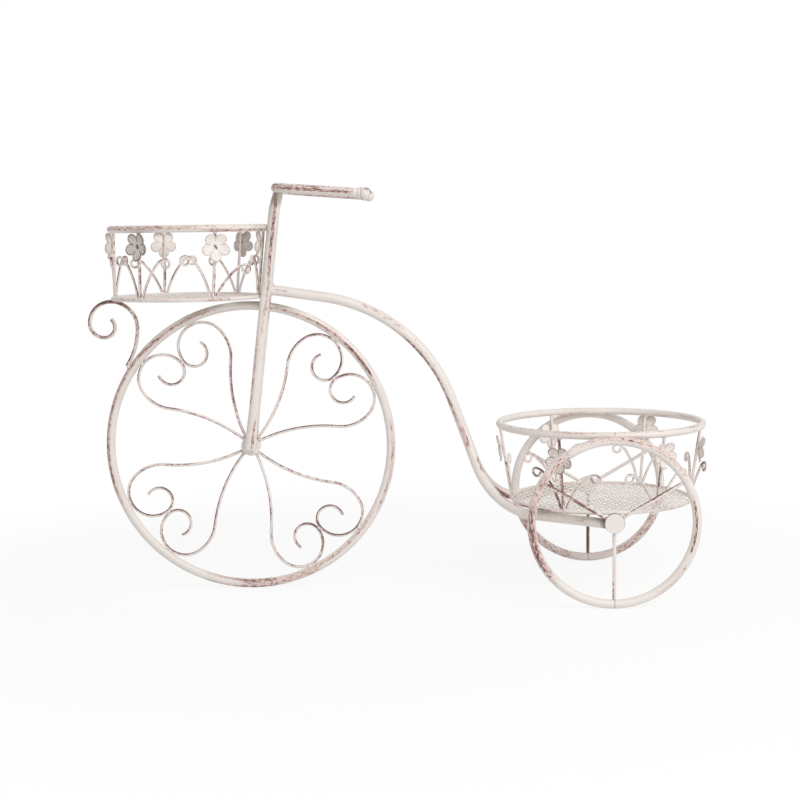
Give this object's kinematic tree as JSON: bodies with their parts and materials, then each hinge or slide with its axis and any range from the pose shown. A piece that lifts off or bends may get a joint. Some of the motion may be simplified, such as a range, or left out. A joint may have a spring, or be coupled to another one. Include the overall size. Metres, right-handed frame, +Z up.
{
  "type": "plant stand",
  "caption": "Plant stand shaped like an old tricycle, bent from painted steel tube and wire, with a flowered basket over the tall front wheel and a wider one between the rear wheels.",
  "frame": {"origin": "middle of the stand's footprint, on the ground under the wheels", "axes": "+X towards the rear wheels, +Y towards the far side of the picture, +Z up"},
  "size_m": [0.6358, 0.2322, 0.4186],
  "materials": {
    "frame": "antique cream paint, satin, brushed thinly with red-brown along the tubes",
    "flowers": "antique cream paint, rubbed grey-brown in the hollows of the petals",
    "floor_mesh": "antique cream paint on expanded sheet"
  },
  "bodies": {
    "root": {"backbone_tube_far": "frame", "backbone_tube_near": "frame", "basket_bracket": "frame", "fork_leg_far": "frame", "fork_leg_near": "frame", "front_basket_base_ring": "frame", "front_basket_floor": "floor_mesh", "front_basket_flower_1": "flowers", "front_basket_flower_2": "flowers", "front_basket_flower_3": "flowers", "front_basket_flower_4": "flowers", "front_basket_flower_5": "flowers", "front_basket_flower_6": "flowers", "front_basket_rim": "frame", "front_basket_stems": "frame", "front_basket_tendrils_1": "frame", "front_basket_tendrils_2": "frame", "front_basket_tendrils_3": "frame", "front_basket_tendrils_4": "frame", "front_basket_tendrils_5": "frame", "front_basket_tendrils_6": "frame", "front_hub": "frame", "front_wheel_rim": "frame", "front_wheel_scroll_1": "frame", "front_wheel_scroll_2": "frame", "front_wheel_scroll_3": "frame", "front_wheel_scroll_4": "frame", "front_wheel_scroll_5": "frame", "front_wheel_scroll_6": "frame", "front_wheel_scroll_7": "frame", "front_wheel_scroll_8": "frame", "handlebar": "frame", "handlebar_knob_far": "frame", "handlebar_knob_near": "frame", "rear_basket_base_ring": "frame", "rear_basket_floor": "floor_mesh", "rear_basket_flower_1": "flowers", "rear_basket_flower_2": "flowers", "rear_basket_flower_3": "flowers", "rear_basket_flower_4": "flowers", "rear_basket_flower_5": "flowers", "rear_basket_flower_6": "flowers", "rear_basket_rim": "frame", "rear_basket_stems": "frame", "rear_basket_tendrils_1": "frame", "rear_basket_tendrils_2": "frame", "rear_basket_tendrils_3": "frame", "rear_basket_tendrils_4": "frame", "rear_basket_tendrils_5": "frame", "rear_basket_tendrils_6": "frame", "rear_hub_disc_far": "frame", "rear_hub_disc_near": "frame", "rear_wheel_rim_far": "frame", "rear_wheel_rim_near": "frame", "rear_wheel_spokes_far": "frame", "rear_wheel_spokes_near": "frame"}
  },
  "joints": []
}
